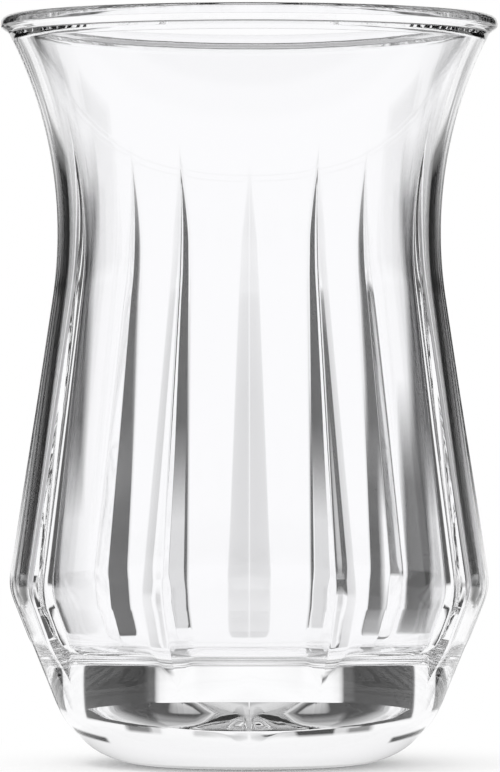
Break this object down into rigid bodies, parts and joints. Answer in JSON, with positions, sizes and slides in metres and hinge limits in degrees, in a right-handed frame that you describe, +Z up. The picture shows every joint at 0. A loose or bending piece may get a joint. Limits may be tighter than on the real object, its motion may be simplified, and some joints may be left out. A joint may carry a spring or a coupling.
{
  "type": "tea glass",
  "caption": "Empty tulip-shaped tea glass in clear glass, with a flared lip, drawn-in waist, raised spear ribs round the bowl and a thick base; holds a serving of hot tea.",
  "frame": {"origin": "on the table, under the middle of the glass", "axes": "+Z up along the axis of the glass, -Y towards the viewer of the picture"},
  "size_m": [0.0624, 0.0624, 0.0938],
  "materials": {
    "clear_glass": "gloss"
  },
  "bodies": {
    "root": {"glass": "clear_glass"}
  },
  "joints": []
}
